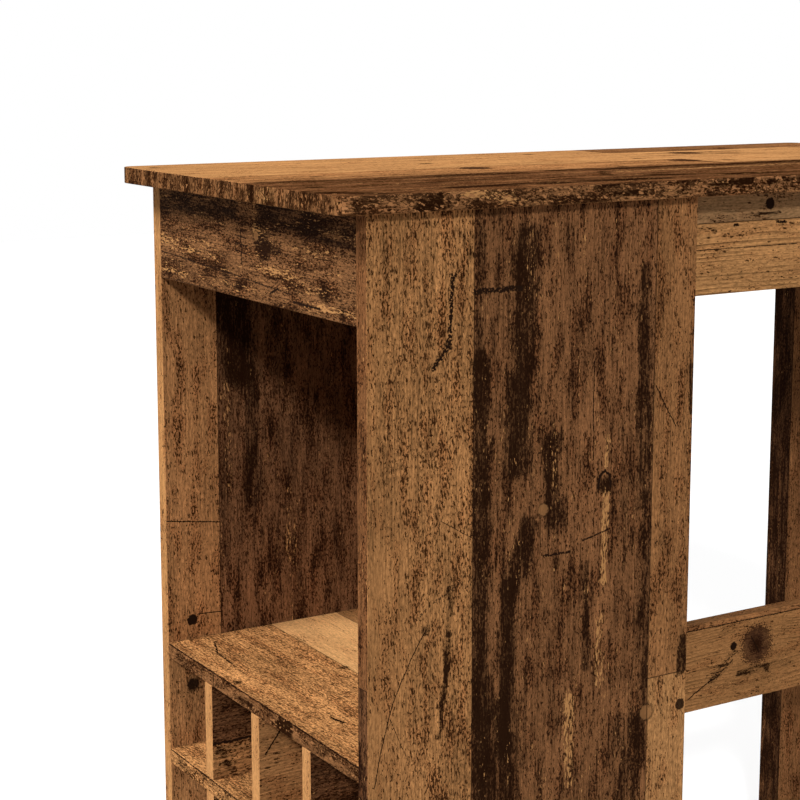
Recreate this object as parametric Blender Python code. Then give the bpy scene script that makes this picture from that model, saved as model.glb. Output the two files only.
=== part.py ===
"""Bar table with a storage unit under one end: an open compartment above a bottle rack.

Every board is faced particle board of one thickness. The storage unit's two side panels, its partition and
the panel at the table's other end carry the tabletop. Aprons and a stretcher tie them together. Cam fittings
hold the boards: a bolt screwed into the face of one board, and a cam nut let into the end of the other.

The frame is in metres with +Z up. The origin is on the floor, under the middle of the tabletop. X runs along
the table, from the open end of the storage unit (-X) to the end panel (+X), and the front is -Y.
"""

import math

import bmesh
import bpy
from mathutils import Matrix, Vector

# Overall size
TABLE_LENGTH = 1.020
TABLE_DEPTH = 0.500
TABLE_HEIGHT = 1.035

# Boards
BOARD = 0.018
TOP_CORNER_RADIUS = 0.015
ARRIS = 0.0008
FIT = 0.0003

# Layout
END_OVERHANG = 0.034
SIDE_OVERHANG = 0.012
UNIT_LENGTH = 0.395
APRON_HEIGHT = 0.107
PLINTH_HEIGHT = 0.0735
CELL_HEIGHT = 0.1115
CELL_ROWS = 3
CELL_COLUMNS = 4

# Cam fittings
CAM_RADIUS = 0.0075
CAM_SETBACK = 0.024
CAM_SKIN = 0.0035
CAM_SINK = 0.0004
CAM_CHAMFER = 0.0006
DRIVE_LENGTH = 0.0074
DRIVE_WIDTH = 0.0018
DRIVE_DEPTH = 0.0016
BOLT_SKIN = 0.0080
BOLT_THREAD_RADIUS = 0.0030
BOLT_SHANK_RADIUS = 0.0034
BOLT_NECK_RADIUS = 0.0020
BOLT_NECK_LENGTH = 0.0040
BOLT_HEAD_RADIUS = 0.0030
BOLT_HEAD_LENGTH = 0.0036
BORE_CLEARANCE = 0.0005
TOP_FITTING_INSET = 0.080
RAIL_FITTING_DROP = 0.045

# Foot glides
GLIDE_HEIGHT = 0.005
GLIDE_RADIUS = 0.008
GLIDE_CHAMFER = 0.0015
GLIDE_PIN_RADIUS = 0.0014
GLIDE_PIN_LENGTH = 0.014
GLIDE_INSET = 0.040

# Facets
CORNER_SEGMENTS = 8
ARRIS_SEGMENTS = 2
CAM_SIDES = 20
BOLT_SIDES = 10
GLIDE_SIDES = 16
SMOOTH_BELOW = math.radians(40)
MERGE = 1e-6

# Places worked out from the sizes above
UNIT_LEFT = -TABLE_LENGTH / 2 + END_OVERHANG
UNIT_RIGHT = UNIT_LEFT + UNIT_LENGTH
END_OUTER = TABLE_LENGTH / 2 - END_OVERHANG
END_INNER = END_OUTER - BOARD
OUTER_Y = TABLE_DEPTH / 2 - SIDE_OVERHANG
INNER_Y = OUTER_Y - BOARD
PANEL_FOOT = GLIDE_HEIGHT + FIT
TOP_UNDERSIDE = TABLE_HEIGHT - BOARD
PANEL_TOP = TOP_UNDERSIDE - FIT
CELL_WIDTH = (2 * INNER_Y - (CELL_COLUMNS - 1) * BOARD) / CELL_COLUMNS
SHELF_PITCH = CELL_HEIGHT + BOARD
UPPER_CELLS = PLINTH_HEIGHT + BOARD + (CELL_ROWS - 1) * SHELF_PITCH
BOLT_GRIP = BOARD - BOLT_SKIN

# Finishes: base colour, roughness and metallic value
PALE_WOOD = ((0.45, 0.27, 0.12), 0.50, 0.0)
TAN_WOOD = ((0.34, 0.18, 0.07), 0.50, 0.0)
BROWN_WOOD = ((0.19, 0.10, 0.045), 0.55, 0.0)
DARK_WOOD = ((0.085, 0.05, 0.028), 0.60, 0.0)
ZINC = ((0.60, 0.61, 0.63), 0.35, 1.0)
PLASTIC = ((0.025, 0.025, 0.025), 0.50, 0.0)

X = Vector((1.0, 0.0, 0.0))
Y = Vector((0.0, 1.0, 0.0))
Z = Vector((0.0, 0.0, 1.0))


def clear_scene():
    for old in list(bpy.data.objects):
        bpy.data.objects.remove(old, do_unlink=True)


def finish(name, look):
    """A Principled material of the piece's own."""
    colour, roughness, metallic = look
    material = bpy.data.materials.new(name)
    material.use_nodes = True
    shader = material.node_tree.nodes["Principled BSDF"]
    shader.inputs["Base Color"].default_value = (*colour, 1.0)
    shader.inputs["Roughness"].default_value = roughness
    shader.inputs["Metallic"].default_value = metallic
    return material


def add_object(name, mesh, parent=None):
    piece = bpy.data.objects.new(name, mesh)
    bpy.context.scene.collection.objects.link(piece)
    piece.parent = parent
    return piece


# Boards


def box_mesh(name, size):
    mesh = bpy.data.meshes.new(name)
    form = bmesh.new()
    bmesh.ops.create_cube(form, size=1.0)
    bmesh.ops.scale(form, vec=size, verts=form.verts)
    form.to_mesh(mesh)
    form.free()
    return mesh


def add_board(table, name, low, high, look):
    """A rectangular board between two corners, with the arrises of its edge band softly rounded."""
    low = Vector(low)
    high = Vector(high)
    board = add_object(name, box_mesh(name, high - low), table)
    board.location = (low + high) / 2
    board.data.materials.append(finish(f"{name}_finish", look))
    arris = board.modifiers.new("arris", "BEVEL")
    arris.width = ARRIS
    arris.segments = ARRIS_SEGMENTS
    arris.limit_method = "ANGLE"
    return board


def round_upright_corners(board, radius):
    form = bmesh.new()
    form.from_mesh(board.data)
    upright = []
    for edge in form.edges:
        run = edge.verts[0].co - edge.verts[1].co
        if abs(run.z) > max(abs(run.x), abs(run.y)):
            upright.append(edge)
    bmesh.ops.bevel(form, geom=upright, offset=radius, segments=CORNER_SEGMENTS, profile=0.5, affect="EDGES")
    form.to_mesh(board.data)
    form.free()


def add_tabletop(table):
    half = Vector((TABLE_LENGTH / 2, TABLE_DEPTH / 2, 0.0))
    top = add_board(table, "tabletop", -half + Z * TOP_UNDERSIDE, half + Z * TABLE_HEIGHT, TAN_WOOD)
    round_upright_corners(top, TOP_CORNER_RADIUS)
    return {top.name: top}


def add_uprights(table):
    """The storage unit's side panels and partition, and the panel at the table's other end."""
    spans = {
        "front_side_panel": ((UNIT_LEFT, -OUTER_Y), (UNIT_RIGHT, -INNER_Y), DARK_WOOD),
        "back_side_panel": ((UNIT_LEFT, INNER_Y), (UNIT_RIGHT, OUTER_Y), BROWN_WOOD),
        "partition": ((UNIT_RIGHT - BOARD, FIT - INNER_Y), (UNIT_RIGHT, INNER_Y - FIT), BROWN_WOOD),
        "end_panel": ((END_INNER, FIT - INNER_Y), (END_OUTER, INNER_Y - FIT), TAN_WOOD),
    }
    return {
        name: add_board(table, name, (*low, PANEL_FOOT), (*high, PANEL_TOP), look)
        for name, (low, high, look) in spans.items()
    }


def add_rails(table):
    """The aprons under the tabletop, the plinth under the rack and the stretcher to the end panel."""
    reach_y = INNER_Y - FIT
    first_x = UNIT_RIGHT + FIT
    last_x = END_INNER - FIT
    apron_foot = TOP_UNDERSIDE - APRON_HEIGHT
    spans = {
        "left_end_apron": (
            (UNIT_LEFT, -reach_y, apron_foot),
            (UNIT_LEFT + BOARD, reach_y, PANEL_TOP),
            DARK_WOOD,
        ),
        "front_apron": ((first_x, -reach_y, apron_foot), (last_x, BOARD - reach_y, PANEL_TOP), TAN_WOOD),
        "back_apron": ((first_x, reach_y - BOARD, apron_foot), (last_x, reach_y, PANEL_TOP), TAN_WOOD),
        "stretcher": (
            (first_x, -BOARD / 2, UPPER_CELLS),
            (last_x, BOARD / 2, UPPER_CELLS + CELL_HEIGHT),
            PALE_WOOD,
        ),
        "plinth": (
            (UNIT_LEFT, -reach_y, PANEL_FOOT),
            (UNIT_LEFT + BOARD, reach_y, PLINTH_HEIGHT - FIT),
            BROWN_WOOD,
        ),
    }
    return {name: add_board(table, name, *span) for name, span in spans.items()}


def add_rack(table):
    """The rack's shelves, and the dividers that stand on each shelf but the top one."""
    reach_y = INNER_Y - FIT
    last_x = UNIT_RIGHT - BOARD - FIT
    for level in range(CELL_ROWS + 1):
        underside = PLINTH_HEIGHT + level * SHELF_PITCH
        shelf_top = underside + BOARD
        low = (UNIT_LEFT, -reach_y, underside)
        add_board(table, f"shelf_{level + 1}", low, (last_x, reach_y, shelf_top), TAN_WOOD)
        if level == CELL_ROWS:
            break
        for column in range(1, CELL_COLUMNS):
            near_y = -INNER_Y + column * CELL_WIDTH + (column - 1) * BOARD
            low = (UNIT_LEFT, near_y, shelf_top + FIT)
            high = (last_x, near_y + BOARD, shelf_top + CELL_HEIGHT - FIT)
            add_board(table, f"divider_{level + 1}_{column}", low, high, PALE_WOOD)


# Turned pieces


def turned_mesh(name, profile, sides):
    """Spins a profile of (radius, height) points, whose ends lie on the axis, about Z into a closed solid."""
    form = bmesh.new()
    points = [form.verts.new((radius, 0.0, height)) for radius, height in profile]
    edges = [form.edges.new(pair) for pair in zip(points, points[1:])]
    bmesh.ops.spin(
        form,
        geom=points + edges,
        cent=(0.0, 0.0, 0.0),
        axis=Z,
        angle=math.tau,
        steps=sides,
        use_merge=True,
    )
    bmesh.ops.remove_doubles(form, verts=form.verts, dist=MERGE)
    bmesh.ops.recalc_face_normals(form, faces=form.faces)
    mesh = bpy.data.meshes.new(name)
    form.to_mesh(mesh)
    form.free()
    mesh.shade_smooth()
    mesh.set_sharp_from_angle(angle=SMOOTH_BELOW)
    return mesh


def add_cutter(table, name, solids):
    """One hidden cutter of several solids, given as (mesh, place) pairs that stay clear of each other."""
    form = bmesh.new()
    for mesh, place in solids:
        placed = mesh.copy()
        placed.transform(place)
        form.from_mesh(placed)
        bpy.data.meshes.remove(placed)
    merged = bpy.data.meshes.new(name)
    form.to_mesh(merged)
    form.free()
    cutter = add_object(name, merged, table)
    cutter.hide_render = True
    cutter.display_type = "WIRE"
    return cutter


def cut(piece, cutter):
    step = piece.modifiers.new(cutter.name, "BOOLEAN")
    step.operation = "DIFFERENCE"
    step.solver = "EXACT"
    step.object = cutter


# Cam fittings
#
# A fitting's own frame has its origin in the middle of the holding board's end, X into that board along the
# bolt, and Z out of the face that the cam nut is let into. The mating board lies at -FIT on X.

TO_X = Matrix.Rotation(math.radians(90), 4, "Y")
CAM_CENTRE = Matrix.Translation(X * CAM_SETBACK)
CAM_FLOOR = CAM_SKIN - BOARD / 2


def bolt_mesh():
    """Thread, shank, neck and head, from the tip in the mating board to the middle of the cam nut."""
    head_foot = CAM_SETBACK - BOLT_HEAD_LENGTH / 2
    neck_foot = head_foot - BOLT_NECK_LENGTH
    profile = [
        (0.0, -FIT - BOLT_GRIP),
        (BOLT_THREAD_RADIUS, -FIT - BOLT_GRIP),
        (BOLT_THREAD_RADIUS, -FIT),
        (BOLT_SHANK_RADIUS, 0.0),
        (BOLT_SHANK_RADIUS, neck_foot),
        (BOLT_NECK_RADIUS, neck_foot),
        (BOLT_NECK_RADIUS, head_foot),
        (BOLT_HEAD_RADIUS, head_foot),
        (BOLT_HEAD_RADIUS, head_foot + BOLT_HEAD_LENGTH),
        (0.0, head_foot + BOLT_HEAD_LENGTH),
    ]
    return turned_mesh("cam_bolt", profile, BOLT_SIDES)


def bolt_bore_mesh():
    """The stepped hole round a bolt, through both boards and into the cam nut."""
    bore_radius = max(BOLT_SHANK_RADIUS, BOLT_HEAD_RADIUS) + BORE_CLEARANCE
    tip = -2 * FIT - BOLT_GRIP
    far_end = CAM_SETBACK + BOLT_HEAD_LENGTH / 2 + BORE_CLEARANCE
    profile = [
        (0.0, tip),
        (BOLT_THREAD_RADIUS + FIT, tip),
        (BOLT_THREAD_RADIUS + FIT, -FIT / 2),
        (bore_radius, -FIT / 2),
        (bore_radius, far_end),
        (0.0, far_end),
    ]
    return turned_mesh("bolt_bore", profile, BOLT_SIDES)


def cam_pocket_mesh():
    """The round pocket of a cam nut, open through the board's face."""
    radius = CAM_RADIUS + FIT
    mouth = BOARD / 2 + CAM_RADIUS
    profile = [(0.0, CAM_FLOOR), (radius, CAM_FLOOR), (radius, mouth), (0.0, mouth)]
    return turned_mesh("cam_pocket", profile, CAM_SIDES)


def drive_recess_mesh():
    """The cross recess in a cam nut's face, as a plus-shaped prism."""
    arm = DRIVE_LENGTH / 2
    half = DRIVE_WIDTH / 2
    quarter = [(arm, -half), (arm, half), (half, half)]
    form = bmesh.new()
    outline = []
    for turn in range(4):
        rotation = Matrix.Rotation(math.radians(90 * turn), 3, "Z")
        outline += [form.verts.new(rotation @ Vector((x, y, 0.0))) for x, y in quarter]
    floor = form.faces.new(outline)
    raised = bmesh.ops.extrude_face_region(form, geom=[floor])["geom"]
    corners = [part for part in raised if isinstance(part, bmesh.types.BMVert)]
    bmesh.ops.translate(form, vec=Z * 2 * DRIVE_DEPTH, verts=corners)
    bmesh.ops.recalc_face_normals(form, faces=form.faces)
    mesh = bpy.data.meshes.new("drive_recess")
    form.to_mesh(mesh)
    form.free()
    return mesh


def cam_mesh(table):
    """A cam nut: a turned disc with a hollow for the bolt's head and a cross recess in its face."""
    foot = CAM_FLOOR + FIT
    face = BOARD / 2 - CAM_SINK
    profile = [
        (0.0, foot),
        (CAM_RADIUS, foot),
        (CAM_RADIUS, face - CAM_CHAMFER),
        (CAM_RADIUS - CAM_CHAMFER, face),
        (0.0, face),
    ]
    blank = add_object("cam_blank", turned_mesh("cam_blank", profile, CAM_SIDES), table)
    hollow = add_cutter(table, "cam_hollow", [(bolt_bore_mesh(), CAM_CENTRE.inverted() @ TO_X)])
    recess_place = Matrix.Translation(Z * (face - DRIVE_DEPTH))
    recess = add_cutter(table, "cam_recess", [(drive_recess_mesh(), recess_place)])
    cut(blank, hollow)
    cut(blank, recess)
    graph = bpy.context.evaluated_depsgraph_get()
    mesh = bpy.data.meshes.new_from_object(blank.evaluated_get(graph))
    mesh.name = "cam_nut"
    for spent in (blank, hollow, recess):
        bpy.data.objects.remove(spent, do_unlink=True)
    return mesh


def fitting_places():
    """Each fitting's name, holding board and mating board, with the middle of the joint and its X and Z."""
    near_x = UNIT_LEFT + TOP_FITTING_INSET
    far_x = UNIT_RIGHT - TOP_FITTING_INSET
    side_y = OUTER_Y - BOARD / 2
    end_x = END_INNER + BOARD / 2
    end_y = INNER_Y - TOP_FITTING_INSET
    rail_z = TOP_UNDERSIDE - RAIL_FITTING_DROP
    apron_y = INNER_Y - FIT - BOARD / 2
    first_x = UNIT_RIGHT + FIT
    last_x = END_INNER - FIT
    left_x = UNIT_LEFT + BOARD / 2
    left_y = INNER_Y - FIT
    stretcher_z = UPPER_CELLS + CELL_HEIGHT / 2
    top = "tabletop"
    return [
        ("front_left_top", "front_side_panel", top, (near_x, -side_y, PANEL_TOP), -Z, Y),
        ("front_right_top", "front_side_panel", top, (far_x, -side_y, PANEL_TOP), -Z, Y),
        ("back_left_top", "back_side_panel", top, (near_x, side_y, PANEL_TOP), -Z, -Y),
        ("back_right_top", "back_side_panel", top, (far_x, side_y, PANEL_TOP), -Z, -Y),
        ("end_front_top", "end_panel", top, (end_x, -end_y, PANEL_TOP), -Z, -X),
        ("end_back_top", "end_panel", top, (end_x, end_y, PANEL_TOP), -Z, -X),
        ("front_apron_left", "front_apron", "partition", (first_x, -apron_y, rail_z), X, Y),
        ("front_apron_right", "front_apron", "end_panel", (last_x, -apron_y, rail_z), -X, Y),
        ("back_apron_left", "back_apron", "partition", (first_x, apron_y, rail_z), X, -Y),
        ("back_apron_right", "back_apron", "end_panel", (last_x, apron_y, rail_z), -X, -Y),
        ("stretcher_left", "stretcher", "partition", (first_x, 0.0, stretcher_z), X, Y),
        ("stretcher_right", "stretcher", "end_panel", (last_x, 0.0, stretcher_z), -X, Y),
        ("end_apron_front", "left_end_apron", "front_side_panel", (left_x, -left_y, rail_z), Y, X),
        ("end_apron_back", "left_end_apron", "back_side_panel", (left_x, left_y, rail_z), -Y, X),
    ]


def frame_at(point, inward, face):
    """The place of a fitting's own frame."""
    turned = Matrix((inward, face.cross(inward), face)).transposed().to_4x4()
    return Matrix.Translation(point) @ turned


# Foot glides


def glide_profile(disc_radius, pin_radius, foot, pin_length):
    return [
        (0.0, foot),
        (disc_radius - GLIDE_CHAMFER, foot),
        (disc_radius, foot + GLIDE_CHAMFER),
        (disc_radius, GLIDE_HEIGHT),
        (pin_radius, GLIDE_HEIGHT),
        (pin_radius, GLIDE_HEIGHT + pin_length - pin_radius),
        (0.0, GLIDE_HEIGHT + pin_length),
    ]


def pin_bore_mesh():
    """The hole round a glide's pin, open through the panel's foot."""
    radius = GLIDE_PIN_RADIUS + FIT
    floor = GLIDE_HEIGHT + GLIDE_PIN_LENGTH + FIT
    profile = [(0.0, GLIDE_HEIGHT), (radius, GLIDE_HEIGHT), (radius, floor), (0.0, floor)]
    return turned_mesh("pin_bore", profile, BOLT_SIDES)


def glide_places():
    """Each glide's name and panel, with its place on the floor."""
    unit_x = (UNIT_LEFT + GLIDE_INSET, UNIT_RIGHT - GLIDE_INSET)
    side_y = OUTER_Y - BOARD / 2
    end_x = END_INNER + BOARD / 2
    end_y = INNER_Y - GLIDE_INSET
    return [
        ("front_left", "front_side_panel", (unit_x[0], -side_y, 0.0)),
        ("front_right", "front_side_panel", (unit_x[1], -side_y, 0.0)),
        ("back_left", "back_side_panel", (unit_x[0], side_y, 0.0)),
        ("back_right", "back_side_panel", (unit_x[1], side_y, 0.0)),
        ("end_front", "end_panel", (end_x, -end_y, 0.0)),
        ("end_back", "end_panel", (end_x, end_y, 0.0)),
    ]


def add_fittings(table, boards):
    """Cam nuts, bolts and glides, with the pockets and bores that they sit in."""
    nut = cam_mesh(table)
    bolt = bolt_mesh()
    profile = glide_profile(GLIDE_RADIUS, GLIDE_PIN_RADIUS, 0.0, GLIDE_PIN_LENGTH)
    glide = turned_mesh("glide", profile, GLIDE_SIDES)
    pocket = cam_pocket_mesh()
    bolt_bore = bolt_bore_mesh()
    pin_bore = pin_bore_mesh()
    pockets = []
    bores = []
    pocketed = set()
    bored = set()

    for name, holder, mate, point, inward, face in fitting_places():
        place = frame_at(point, inward, face)
        cam = add_object(f"cam_nut_{name}", nut.copy(), table)
        cam.matrix_local = place @ CAM_CENTRE
        cam.data.materials.append(finish(f"{cam.name}_finish", ZINC))
        pin = add_object(f"cam_bolt_{name}", bolt.copy(), table)
        pin.matrix_local = place @ TO_X
        pin.data.materials.append(finish(f"{pin.name}_finish", ZINC))
        pockets.append((pocket, place @ CAM_CENTRE))
        bores.append((bolt_bore, place @ TO_X))
        pocketed.add(holder)
        bored |= {holder, mate}

    for name, panel, point in glide_places():
        foot = add_object(f"glide_{name}", glide.copy(), table)
        foot.location = point
        foot.data.materials.append(finish(f"{foot.name}_finish", PLASTIC))
        bores.append((pin_bore, Matrix.Translation(point)))
        bored.add(panel)

    pocket_cutter = add_cutter(table, "cam_pockets", pockets)
    bore_cutter = add_cutter(table, "fitting_bores", bores)
    for name in sorted(pocketed):
        cut(boards[name], pocket_cutter)
    for name in sorted(bored):
        cut(boards[name], bore_cutter)


def main():
    clear_scene()
    table = add_object("bar_table", None)
    boards = {}
    boards.update(add_tabletop(table))
    boards.update(add_uprights(table))
    boards.update(add_rails(table))
    add_rack(table)
    add_fittings(table, boards)


main()
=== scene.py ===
# %% [markdown]
# # A bar table in reclaimed plank print
# The real table is made of flat boards, 18 mm thick. Each board is chipboard, and its faces and edges carry
# a printed skin that looks like old planks laid side by side: dark ones, honey ones, with nail holes, cracks
# and worn streaks. The boards' shapes come from the CAD model as they are, so this script makes the looks:
# camera, light, floor, and one procedural finish for each board.

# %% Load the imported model
import math
from functools import partial, partialmethod

import bpy
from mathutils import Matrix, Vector


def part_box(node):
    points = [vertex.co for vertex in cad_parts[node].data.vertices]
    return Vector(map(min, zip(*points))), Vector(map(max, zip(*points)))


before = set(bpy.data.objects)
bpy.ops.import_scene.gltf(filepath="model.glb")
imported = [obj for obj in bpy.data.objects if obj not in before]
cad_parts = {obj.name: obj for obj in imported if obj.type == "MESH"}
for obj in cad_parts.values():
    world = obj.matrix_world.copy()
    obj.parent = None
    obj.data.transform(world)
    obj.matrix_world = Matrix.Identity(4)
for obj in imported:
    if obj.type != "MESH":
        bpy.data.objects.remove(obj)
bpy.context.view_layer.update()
print("boards and fittings:", len(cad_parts))

# %% [markdown]
# ## The camera
# The photo was taken from the front left, a little above the tabletop, with a long lens. A long lens keeps
# the upright edges nearly parallel. The values were solved from the board edges, so they are simply set:
# place, heading, downward tilt, focal length, and a small shift that keeps the tilt low.

# %% Camera
CAMERA_PLACE = (-1.3266, -1.6843, 1.1672)
CAMERA_HEADING = 31.524
CAMERA_TILT = -9.160
CAMERA_LENS = 82.75
CAMERA_SHIFT = -0.07
SENSOR_WIDTH = 36.0

camera_data = bpy.data.cameras.new("camera")
camera_data.lens = CAMERA_LENS
camera_data.sensor_width = SENSOR_WIDTH
camera_data.shift_y = CAMERA_SHIFT
camera_data.clip_start = 0.05
camera_data.clip_end = 60.0
camera = bpy.data.objects.new("camera", camera_data)
camera.location = CAMERA_PLACE
camera.rotation_euler = (math.radians(90 + CAMERA_TILT), 0.0, math.radians(-CAMERA_HEADING))
bpy.context.scene.collection.objects.link(camera)
bpy.context.scene.camera = camera
print("camera lens:", camera_data.lens, "mm")

# %% [markdown]
# ## Studio light
# Soft light comes from the front left, low, and throws the narrow shadow under the top's overhang. A second
# light hangs high on the left and makes tops and left-hand edges lighter than the front faces. A weak broad
# one behind keeps the far sides readable. Sun lamps are used because they light floor and table evenly, and
# their angle sets how soft a shadow's edge is, as the size of a softbox does.

# %% Lamps
LAMP_DISTANCE = 5.0


def add_lamp(name, direction, strength, spread):
    """A soft light from one direction. Spread is how wide it looks from the table, in degrees."""
    lamp_data = bpy.data.lights.new(name, "SUN")
    lamp_data.energy = strength
    lamp_data.angle = math.radians(spread)
    lamp = bpy.data.objects.new(name, lamp_data)
    away = Vector(direction).normalized()
    lamp.location = away * LAMP_DISTANCE
    lamp.rotation_euler = away.to_track_quat("Z", "Y").to_euler()
    bpy.context.scene.collection.objects.link(lamp)
    return lamp


add_lamp("front_light", (-0.52, -0.71, 0.48), strength=1.75, spread=6.0)
add_lamp("high_left_light", (-0.60, 0.05, 0.80), strength=2.50, spread=16.0)
add_lamp("back_light", (0.55, 0.60, 0.58), strength=0.45, spread=60.0)
print("lamps:", [lamp.name for lamp in bpy.data.lights])

# %% [markdown]
# ## A bench for laying nodes
# A finish is a tree of nodes. To keep each recipe short, this small class lays a node, fills its sockets
# with numbers or with other sockets, and gives back the output. The recipes below then read like sums.

# %% Node bench
ROWS_OF_NODES = 6
NODE_STEP = 220
# the first input, the second input and the output of a mix node of each kind
MIX_SOCKETS = {"FLOAT": (2, 3, 0), "VECTOR": (4, 5, 1), "RGBA": (6, 7, 2)}


class Bench:
    """Lays nodes in one tree and joins them."""

    def __init__(self, tree):
        self.tree = tree
        self.count = 0

    def add(self, kind, **settings):
        node = self.tree.nodes.new(kind)
        column, row = divmod(self.count, ROWS_OF_NODES)
        node.location = (column * NODE_STEP, -row * NODE_STEP)
        self.count += 1
        for name, value in settings.items():
            setattr(node, name, value)
        return node

    def feed(self, socket, source):
        if isinstance(source, bpy.types.NodeSocket):
            self.tree.links.new(source, socket)
        else:
            socket.default_value = source

    def fill(self, node, sources):
        """Feeds a node's inputs in their order."""
        for socket, source in zip(node.inputs, sources):
            self.feed(socket, source)

    def math(self, operation, *terms, clamp=False):
        node = self.add("ShaderNodeMath", operation=operation, use_clamp=clamp)
        self.fill(node, terms)
        return node.outputs[0]

    minus = partialmethod(math, "SUBTRACT")
    times = partialmethod(math, "MULTIPLY")
    over = partialmethod(math, "DIVIDE")
    larger = partialmethod(math, "MAXIMUM")
    smaller = partialmethod(math, "MINIMUM")
    one_minus = partialmethod(math, "SUBTRACT", 1.0)

    def plus(self, total, *others):
        for other in others:
            total = self.math("ADD", total, other)
        return total

    def swing(self, noise, amount):
        """Noise lies about a half. This makes it a change to either side of nothing."""
        return self.times(self.minus(noise, 0.5), amount)

    def vector(self, operation, *terms):
        node = self.add("ShaderNodeVectorMath", operation=operation)
        self.fill(node, terms)
        return node.outputs["Value" if operation in ("DOT_PRODUCT", "DISTANCE") else "Vector"]

    def tint(self, colour, amount):
        """The colour times a number."""
        node = self.add("ShaderNodeVectorMath", operation="SCALE")
        self.feed(node.inputs["Vector"], colour)
        self.feed(node.inputs["Scale"], amount)
        return node.outputs["Vector"]

    def mixed(self, kind, share, first, second):
        """From the first to the second as share goes from 0 to 1."""
        node = self.add("ShaderNodeMix", data_type=kind)
        first_place, second_place, output = MIX_SOCKETS[kind]
        self.feed(node.inputs[0], share)
        self.feed(node.inputs[first_place], first)
        self.feed(node.inputs[second_place], second)
        return node.outputs[output]

    between = partialmethod(mixed, "FLOAT")
    blend = partialmethod(mixed, "VECTOR")
    mix = partialmethod(mixed, "RGBA")

    def step(self, value, low, high):
        """A soft step: 0 below low, 1 above high."""
        node = self.add("ShaderNodeMapRange", interpolation_type="SMOOTHSTEP")
        self.fill(node, (value, low, high))
        return node.outputs["Result"]

    def join(self, x, y, z):
        node = self.add("ShaderNodeCombineXYZ")
        self.fill(node, (x, y, z))
        return node.outputs[0]

    def split(self, vector):
        node = self.add("ShaderNodeSeparateXYZ")
        self.fill(node, (vector,))
        return node.outputs

    def noise(self, along, across, layer, detail=2.0, roughness=0.5):
        node = self.add("ShaderNodeTexNoise", noise_dimensions="3D")
        self.feed(node.inputs["Vector"], self.join(along, across, layer))
        node.inputs["Scale"].default_value = 1.0
        node.inputs["Detail"].default_value = detail
        node.inputs["Roughness"].default_value = roughness
        return node.outputs[0]

    def cells(self, place, scale=1.0, **settings):
        """A cell pattern, with a distance and a random colour for each cell."""
        node = self.add("ShaderNodeTexVoronoi", **settings)
        self.feed(node.inputs["Vector"], place)
        self.feed(node.inputs["Scale"], scale)
        return node.outputs

    def use(self, group, values):
        """Places a node group and feeds its named inputs."""
        node = self.add("ShaderNodeGroup", node_tree=group)
        for name, source in values.items():
            self.feed(node.inputs[name], source)
        return node.outputs

    def give_out(self, result, values):
        """Feeds a group's named outputs."""
        for name, source in values.items():
            self.feed(result[name], source)


SOCKETS = {"number": "NodeSocketFloat", "vector": "NodeSocketVector", "colour": "NodeSocketColor"}


def kind_of(default):
    """One value is a number, three are a vector and four are a colour."""
    if isinstance(default, float):
        return "number"
    return "vector" if len(default) == 3 else "colour"


def new_group(name, inputs, outputs):
    """An empty node group with named sockets, and a bench to fill it."""
    tree = bpy.data.node_groups.new(name, "ShaderNodeTree")
    for socket_name, default in inputs.items():
        socket_type = SOCKETS[kind_of(default)]
        socket = tree.interface.new_socket(socket_name, in_out="INPUT", socket_type=socket_type)
        socket.default_value = default
    for socket_name, kind in outputs.items():
        tree.interface.new_socket(socket_name, in_out="OUTPUT", socket_type=SOCKETS[kind])
    bench = Bench(tree)
    given = bench.add("NodeGroupInput").outputs
    result = bench.add("NodeGroupOutput").inputs
    return tree, bench, given, result


print("bench ready, socket kinds:", sorted(SOCKETS))

# %% [markdown]
# ## Colours of the print
# The print has a small set of plank colours, from pale honey to nearly black. They are written as colours on
# an ordinary 0 to 255 card, because those are easy to compare with a swatch, and turned into the linear
# values that a shader works in. The inks of flecks, cracks and bark are too dark for the card's coarse steps,
# so they are linear values from the start.

# %% Colours
def card(red, green, blue):
    """A colour from 0-255 values to the linear values of a shader socket."""
    linear = []
    for value in (red, green, blue):
        share = value / 255.0
        linear.append(share / 12.92 if share <= 0.04045 else ((share + 0.055) / 1.055) ** 2.4)
    return (*linear, 1.0)


HONEY = card(186, 133, 82)
PALE = card(196, 141, 88)
TAN = card(158, 111, 68)
WARM_TAN = card(173, 124, 77)
BROWN = card(136, 92, 56)
DARK = card(132, 90, 56)
DEEP = card(104, 68, 42)
GREY_BROWN = card(150, 114, 77)
PLUG_WOOD = card(150, 105, 65)
FLECK_INK = (0.032, 0.0105, 0.0030, 1.0)
DOT_INK = (0.030, 0.0095, 0.0028, 1.0)
STAIN_INK = (0.0160, 0.0052, 0.0018, 1.0)
CRACK_INK = (0.016, 0.007, 0.0035, 1.0)
BARK_INK = (0.020, 0.0068, 0.0025, 1.0)
KNOT_INK = (0.022, 0.0075, 0.0028, 1.0)
PLUG_INK = (0.03, 0.014, 0.006, 1.0)
KNOT_WOOD = (0.100, 0.040, 0.019, 1.0)
RUBBED_WOOD = (0.61, 0.300, 0.105, 1.0)
RED_PATCH = (0.90, 0.78, 0.74)
PALE_CHIP = (0.52, 0.37, 0.21, 1.0)
DARK_CHIP = (0.30, 0.19, 0.10, 1.0)
NOWHERE = (0.0, 0.0, 0.0)
print("honey in linear values:", [round(value, 3) for value in HONEY])

# %% [markdown]
# ## Which way the grain runs
# Print is laid on each face with the grain along the board, and an edge band runs along its edge. This group
# reads a point's place on the board and the way its face looks, and gives the distance along and across the
# grain. On the face that isn't in view from the front the layout is mirrored and moved along, so no two
# faces are the same. Inside a bored pocket it says that the skin has ended and the core shows.

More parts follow.
